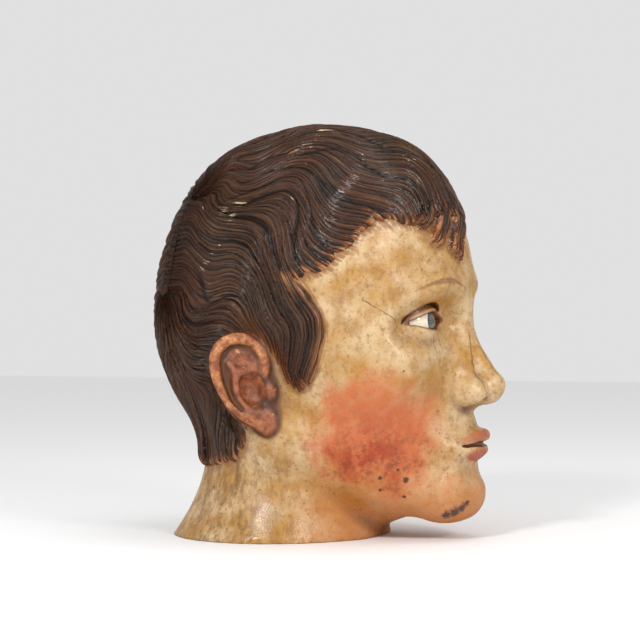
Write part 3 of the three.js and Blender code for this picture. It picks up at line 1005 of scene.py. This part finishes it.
def skin_chips(paint, colour, place):
    """Spots where the flesh paint has come off, brown at the rim and darker in the middle."""
    inside = -1.0
    for centre, radius in on_surface(SKIN_CHIPS):
        far = paint.vectors("DISTANCE", place, centre.tolist(), "Value")
        inside = paint.math("MAXIMUM", inside, paint.math("MULTIPLY_ADD", far, -1 / radius, 1.0))
    inside = paint.math("MULTIPLY_ADD", paint.noise(place, 0.5, 4.0, 0.65), 1.5, inside)
    colour = paint.cover(colour, inside, 0.85, 1.0, 0.65, (112, 66, 42))
    return paint.cover(colour, inside, 1.1, 1.25, 0.85, (56, 34, 26))


def neck_dirt(paint, colour, place, height, forward):
    """Brown dirt that has run down the neck from under the hair."""
    long = paint.vectors("MULTIPLY", place, (1, 1, 0.22))
    run = paint.ramp(paint.noise(long, 0.22, 6.0, 0.7), 0.4, 0.7)
    run = paint.times(run, paint.ramp(height, 70.0, 40.0), paint.ramp(forward, -20.0, 35.0), 0.8)
    return paint.mix(run, colour, (104, 74, 42))


def cheeks(paint, colour, place, face, fine):
    """Rouge that fades out at its rim, and deeper and dirtier towards the jaw."""
    side, forward, up = face
    across = paint.math("DIVIDE", paint.math("ADD", forward, 52.0), 37.0)
    height = paint.math("DIVIDE", paint.math("ADD", up, 62.0), 34.0)
    spread = paint.math("ADD", paint.math("POWER", across, 2.0), paint.math("POWER", height, 2.0))
    spread = paint.math("ADD", spread, paint.ramp(paint.noise(place, 0.05, 5.0, 0.65), 0.3, 0.7, -0.35, 0.35))
    rouge = paint.times(paint.ramp(spread, 1.5, 0.2), paint.ramp(side, 18.0, 40.0))
    rouge = paint.times(rouge, paint.ramp(fine, 0.3, 0.65, 1.0, 0.75))
    colour = paint.mix(rouge, colour, (190, 98, 50))
    patch = paint.noise(place, 0.11, 6.0, 0.75)
    low = paint.times(paint.ramp(height, 0.7, -0.4, 0.15, 1.0), paint.ramp(across, -0.9, 0.3, 0.35, 1.0))
    deep = paint.times(paint.ramp(spread, 1.15, 0.1), low, paint.ramp(patch, 0.36, 0.58, 0.3, 1.0))
    colour = paint.mix(deep, colour, (146, 48, 14))
    grime = paint.times(paint.ramp(spread, 1.3, 0.3), paint.ramp(height, 0.4, -0.7), 0.6)
    return paint.mix(paint.times(grime, paint.ramp(fine, 0.46, 0.64)), colour, (98, 48, 20))


def ears(paint, colour, place, fine):
    """Pink ears with a tan rim, which is rubbed to cream in places, and painted shade, dark brown, in the
    hollows and folds.
    """
    near = paint.ramp("ear", 3.5, 0.5)
    pink = paint.mix(paint.ramp(fine, 0.35, 0.65), (156, 92, 60), (112, 60, 36))
    patch = paint.noise(place, 0.22, 5.0, 0.7)
    tan = paint.mix(paint.ramp(patch, 0.4, 0.6), (186, 122, 76), (122, 64, 34))
    pink = paint.mix(paint.ramp("rim", 2.0, -0.5, 0.0, 0.85), pink, tan)
    rubbed = paint.times(paint.ramp(patch, 0.4, 0.36), paint.ramp("edge", 0.1, 0.4), 0.7)
    pink = paint.mix(rubbed, pink, (206, 160, 116))
    # Painted shade: dark brown in the ear's hollows and near black in its folds.
    pink = paint.cover(pink, "shade_openness", 0.95, 0.3, 0.7, (64, 32, 18))
    pink = paint.cover(pink, "fold", 0.96, 0.6, 0.9, (34, 15, 8))
    return paint.mix(near, colour, pink)


def mouth_and_lids(paint, colour):
    """Red lips with painted shade, dark red-brown, between them, and a brown line along the edge of each
    eyelid.
    """
    lip = paint.ramp("lip", 0.9, -0.4)
    # Painted shade: the lips turn dark red-brown where they close in on each other.
    red = paint.mix(paint.ramp("shade_openness", 0.7, 0.0), (160, 74, 54), (60, 20, 16))
    colour = paint.mix(paint.times(lip, 0.9), colour, red)
    lid = paint.number("lid")
    rim = paint.times(paint.ramp(lid, 1.6, 0.5), paint.ramp(lid, -2.5, -1.0))
    return paint.mix(paint.times(rim, 0.8), colour, (104, 56, 38))


def brows(paint, colour, place, face):
    """A thin brown arch of brush strokes over each eye."""
    side, forward, up = face
    u = paint.math("DIVIDE", paint.math("SUBTRACT", side, 30.0), 21.0)
    arch = paint.math("MULTIPLY_ADD", paint.math("POWER", u, 2.0), -5.0, BROW + 5.5)
    above = paint.math("SUBTRACT", up, arch)
    ragged = paint.math("MULTIPLY_ADD", paint.noise(place, 0.5, 3.0), 1.6, -0.8)
    above = paint.math("ABSOLUTE", paint.math("ADD", above, ragged))
    thick = paint.ramp(paint.math("ABSOLUTE", u), 1.0, 0.1, 0.3, 1.7)
    stroke = paint.ramp(paint.math("SUBTRACT", above, thick), 0.8, -0.8, 0.0, 0.7)
    stroke = paint.times(stroke, paint.ramp(paint.math("ABSOLUTE", u), 1.1, 0.98))
    stroke = paint.times(stroke, paint.ramp(forward, -30.0, -40.0))
    stroke = paint.times(stroke, paint.ramp(paint.noise(place, 1.2, 2.0), 0.3, 0.5, 0.4, 1.0))
    return paint.mix(stroke, colour, (112, 68, 38))


def crack_lines():
    """Each crack as two ends in the row frame and the half width of its line, all in millimetres."""
    temple = seen_at([(362, 299), (378, 309), (396, 321)]).T
    lines = [(temple[0], temple[1], 0.12), (temple[1], temple[2], 0.1)]
    for start, end, width in FACE_CRACKS:
        lines.append((np.array(from_face(*start)), np.array(from_face(*end)), width))
    return lines


def cracks(paint, colour, place):
    """Thin dark lines that wander a little between the ends of each crack."""
    for start, end, width in crack_lines():
        along = end - start
        size = np.linalg.norm(along)
        outward = (start + end) / 2 - np.array(FACE_ORIGIN)
        across = np.cross(along, outward)
        across = across / np.linalg.norm(across)
        deep = np.cross(across, along / size)
        far = paint.along(place, tuple(across), float(across @ start))
        wobble = paint.math("MULTIPLY_ADD", paint.noise(place, 0.25, 4.0, 0.7), 2.4, -1.2)
        far = paint.math("ABSOLUTE", paint.math("ADD", far, wobble))
        middle = (start + end) / 2
        share = paint.math("ABSOLUTE", paint.along(place, tuple(along / size), float(along @ middle / size)))
        depth = paint.math("ABSOLUTE", paint.along(place, tuple(deep), float(deep @ middle)))
        line = paint.ramp(far, width + 0.35, width)
        line = paint.times(line, paint.ramp(share, size / 2 + 1, size / 2 - 2))
        line = paint.times(line, paint.ramp(depth, 14.0, 12.0), 0.75)
        colour = paint.mix(line, colour, (84, 52, 32))
    return colour


def hair_colour(paint, place):
    """Dark brown paint with painted shade, near black, in the cuts, rubbed to tan on the crests, with red
    ground near the edges.
    """
    strand = paint.vector("strand")
    ridge = paint.number("ridge")
    streak = paint.noise(strand, 1.2, 4.0, 0.65)
    patch = paint.noise(place, 0.03, 4.0, 0.6)
    warm = paint.ramp(patch, 0.38, 0.62)
    # Painted shade: the valleys between the ridges go near black, except where the noise fills them with
    # brown.
    deep = paint.mix(warm, (15, 9, 7), (34, 15, 8))
    crest = paint.mix(paint.ramp(streak, 0.35, 0.65), (46, 29, 20), (86, 58, 36))
    crest = paint.mix(paint.times(warm, 0.5), crest, (74, 37, 20))
    filled = paint.ramp(paint.noise(strand, 0.45, 3.0), 0.45, 0.65, 0.0, 0.55)
    colour = paint.mix(paint.ramp(ridge, 0.08, 0.5, filled, 1.0), deep, crest)
    rubbed = paint.times(paint.ramp(ridge, 0.7, 0.95), paint.ramp(streak, 0.53, 0.64), 0.65)
    colour = paint.mix(rubbed, colour, (136, 104, 66))
    # Painted shade: near black in the deep cuts between the locks.
    dark = paint.ramp("crown", 0.6, 0.1, 0.0, 0.85)
    colour = paint.mix(dark, colour, (13, 8, 6))
    colour = paint.cover(colour, "away", 30.0, 3.0, 0.5, (22, 13, 9))
    by_ear = paint.times(paint.ramp("ear", 10.0, 1.0), paint.ramp(streak, 0.4, 0.6), 0.65)
    colour = paint.mix(by_ear, colour, (122, 68, 30))
    edge = paint.math("MULTIPLY_ADD", paint.noise(place, 0.1, 4.0), 16.0, "hair")
    edge = paint.times(paint.ramp(edge, 16.0, 8.0), paint.ramp(streak, 0.36, 0.56), 0.85)
    edge = paint.times(edge, paint.ramp(ridge, 0.1, 0.6))
    colour = paint.mix(edge, colour, (144, 74, 28))
    tips = paint.times(paint.ramp("hair", 4.5, 0.0), paint.ramp(streak, 0.48, 0.6), 0.85)
    colour = paint.mix(tips, colour, (192, 142, 94))
    worn = paint.math("MULTIPLY_ADD", "red", 0.14, paint.noise(strand, 0.8, 4.0, 0.7))
    colour = paint.cover(colour, worn, 0.56, 0.68, 0.7, (134, 76, 42))
    bare = paint.math("MULTIPLY_ADD", "ground", 0.14, paint.noise(strand, 1.6, 4.0, 0.75))
    bare = paint.times(paint.ramp(bare, 0.6, 0.63), paint.ramp(ridge, 0.35, 0.6))
    return paint.mix(bare, colour, (216, 200, 160))


def head_paint():
    """The flesh and hair paint, glossy where it faces the eye, and bare wood on the cut underside."""
    paint = Paint("old paint on carved wood")
    place = paint.place()
    face = face_axes(paint, place)
    hair = paint.ramp("hair", -0.3, 0.4)
    flesh = flesh_colour(paint, place, face)
    strokes = paint.noise(paint.vector("strand"), 2.2, 3.0)
    strokes = paint.times(paint.ramp("hair", -9.0, -0.5), strokes)
    flesh = paint.mix(paint.ramp(strokes, 0.3, 0.5, 0.0, 0.8), flesh, (130, 84, 44))
    colour = paint.mix(hair, flesh, hair_colour(paint, place))
    cut = paint.ramp(paint.along(place, (0, 0, 1)), 0.6, 0.3)
    paint.set("Base Color", paint.mix(cut, colour, wood_colour(paint, place)))
    gloss = paint.ramp(paint.noise(place, 0.12, 4.0), 0.3, 0.7, 0.18, 0.34)
    gloss = paint.times(gloss, paint.ramp(hair, 0.0, 1.0, 1.0, 0.7))
    gloss = paint.math("ADD", gloss, paint.ramp("ear", 3.0, 0.5, 0.0, 0.2))
    paint.set("Roughness", paint.math("ADD", gloss, paint.times(cut, 0.3)))
    turned = paint.node("ShaderNodeLayerWeight", [("Blend", 0.5)]).outputs["Facing"]
    shine = paint.times(paint.ramp(turned, 0.3, 0.75, 1.0, 0.05), paint.ramp(hair, 0.0, 1.0, 0.38, 0.28))
    shine = paint.times(shine, paint.ramp("away", 8.0, 45.0, 0.15, 1.0))
    paint.set("Specular IOR Level", shine)
    skin_bump = paint.bump(paint.noise(place, 0.9, 5.0, 0.6), 0.25, 0.0006)
    strand_bump = paint.bump(paint.noise(paint.vector("strand"), 1.5, 3.0), 1.0, 0.0016)
    bumps = [("Factor", hair), (4, skin_bump), (5, strand_bump)]
    paint.set("Normal", paint.node("ShaderNodeMix", bumps, data_type="VECTOR").outputs[1])
    return paint.material


def wood_colour(paint, place):
    """The sawn end grain of the underside: growth rings round a heart beside the middle."""
    flat = paint.vectors("MULTIPLY", place, (1, 1, 0))
    radius = paint.vectors("DISTANCE", flat, (-18, 30, 0), "Value")
    wobble = paint.math("MULTIPLY_ADD", paint.noise(place, 0.04, 3.0), 12.0, radius)
    ring = paint.math("PINGPONG", wobble, 1.7)
    return paint.mix(paint.ramp(ring, 0.2, 1.6), (120, 84, 54), (158, 118, 78))


def carved_head():
    vertices, quads = surface_nets(distance_grid(wormed, GRID_LOW, GRID_HIGH), GRID_LOW)
    piece = thinned(mesh_object("carved_head", vertices, quads), TRIANGLES)
    paint_masks(piece)
    piece.data.materials.append(head_paint())
    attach(piece, "root")
    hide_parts("head")


def glass_paint():
    """Glass painted behind: cream white, a grey-green iris with a dark rim, and a black pupil."""
    paint = Paint("painted glass")
    radius = paint.number("iris_radius")
    turn = paint.vector("iris_turn")
    rays = paint.noise(turn, 6.0, 3.0)
    iris = paint.mix(paint.ramp(rays, 0.35, 0.65), (34, 42, 44), (74, 84, 80))
    iris = paint.mix(paint.ramp(radius, 4.6, 5.7), iris, (22, 24, 24))
    white = paint.mix(paint.noise(paint.place(), 0.2, 3.0), (228, 218, 196), (206, 188, 158))
    colour = paint.mix(paint.ramp(radius, 5.6, 6.1), iris, white)
    colour = paint.mix(paint.ramp(radius, 2.6, 2.3), colour, (8, 7, 6))
    paint.set("Base Color", colour)
    paint.set("Roughness", 0.06)
    paint.set("Coat Weight", 1.0)
    paint.set("Coat Roughness", 0.03)
    return paint.material


def globe_faces(rings, sectors):
    """Triangles between rings of vertices, with the first vertex at the front and the last at the back."""
    here = np.arange(sectors)
    beside = (here + 1) % sectors
    last = 1 + (rings - 2) * sectors
    faces = [np.stack([0 * here, 1 + here, 1 + beside], 1)]
    for ring in range(1, last, sectors):
        faces.append(np.stack([ring + here, ring + sectors + here, ring + sectors + beside], 1))
        faces.append(np.stack([ring + here, ring + sectors + beside, ring + beside], 1))
    faces.append(np.stack([last + here, last + sectors + 0 * here, last + beside], 1))
    return np.concatenate(faces)


def glass_eye(side, name, paint):
    """A half globe with a cornea that stands slightly proud of it, looking straight ahead."""
    rings, sectors = 48, 96
    angles = np.linspace(0, math.pi / 2, rings)
    radius = EYE_RADIUS * np.sin(angles)
    rise = CORNEA_RISE * np.clip(1 - (radius / (IRIS_RADIUS + 0.6)) ** 2, 0, 1) ** 1.2
    depth = EYE_RADIUS * np.cos(angles) + rise
    turns = np.arange(sectors) * (2 * math.pi / sectors)
    x = np.outer(radius[1:], np.cos(turns)).ravel()
    z = np.outer(radius[1:], np.sin(turns)).ravel()
    y = -np.repeat(depth[1:], sectors)
    x, y, z = [np.concatenate([[0], axis, [0]]) for axis in (x, y, z)]
    y[0] = -depth[0]
    placed = np.array(from_face(x + side * EYE_SPACING / 2, y + EYE_DEPTH, z)).T
    piece = mesh_object(name, placed, globe_faces(rings, sectors))
    off_axis = np.hypot(x, z)
    turn = np.arctan2(z, x)
    add_attribute(piece, "iris_radius", off_axis)
    add_attribute(piece, "iris_turn", np.stack([np.cos(turn), np.sin(turn), off_axis / 20]))
    piece.data.materials.append(paint)
    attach(piece, "root")
    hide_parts(name.replace("eyeball", "glass_eye"))


def floor():
    half = 3.0
    corners = [(-half, -half, 0), (half, -half, 0), (half, half, 0), (-half, half, 0)]
    mesh = bpy.data.meshes.new("floor")
    mesh.from_pydata(corners, [], [(0, 1, 2, 3)])
    piece = in_scene("floor", mesh)
    paint = Paint("pale floor")
    paint.set("Base Color", (0.9, 0.9, 0.9, 1))
    paint.set("Roughness", 0.7)
    mesh.materials.append(paint.material)


def aimed(thing, place, target):
    thing.location = place
    thing.rotation_euler = (Vector(target) - Vector(place)).to_track_quat("-Z", "Y").to_euler()
    bpy.context.scene.collection.objects.link(thing)


def camera():
    target = Vector(PICTURE_CENTRE) / 1000
    data = bpy.data.cameras.new("camera")
    data.lens = LENS
    data.sensor_width = SENSOR
    thing = bpy.data.objects.new("camera", data)
    aimed(thing, target + Vector(view_direction(VIEW_AZIMUTH)) * CAMERA_DISTANCE / 1000, target)
    bpy.context.scene.camera = thing


def soft_light(name, azimuth, height, distance, size, power):
    data = bpy.data.lights.new(name, "AREA")
    data.shape = "DISK"
    data.size = size
    data.energy = power
    place = Vector(view_direction(math.radians(azimuth)) * distance)
    place.z = height
    aimed(bpy.data.objects.new(name, data), place, (0, -0.02, 0.13))


def studio():
    soft_light("key", -92, 0.75, 1.1, 0.22, 8)
    soft_light("front", -35, 0.6, 1.1, 0.25, 4)
    soft_light("top", 10, 1.35, 0.3, 0.6, 1.8)
    world = bpy.data.worlds.new("studio")
    world.use_nodes = True
    sky = world.node_tree.nodes["Background"].inputs
    sky["Color"].default_value = (1, 1, 1, 1)
    sky["Strength"].default_value = 0.75
    bpy.context.scene.world = world
    bpy.context.scene.view_settings.view_transform = "Standard"


camera()
studio()
floor()
carved_head()
glass = glass_paint()
glass_eye(-1, "eyeball_right", glass)
glass_eye(1, "eyeball_left", glass)
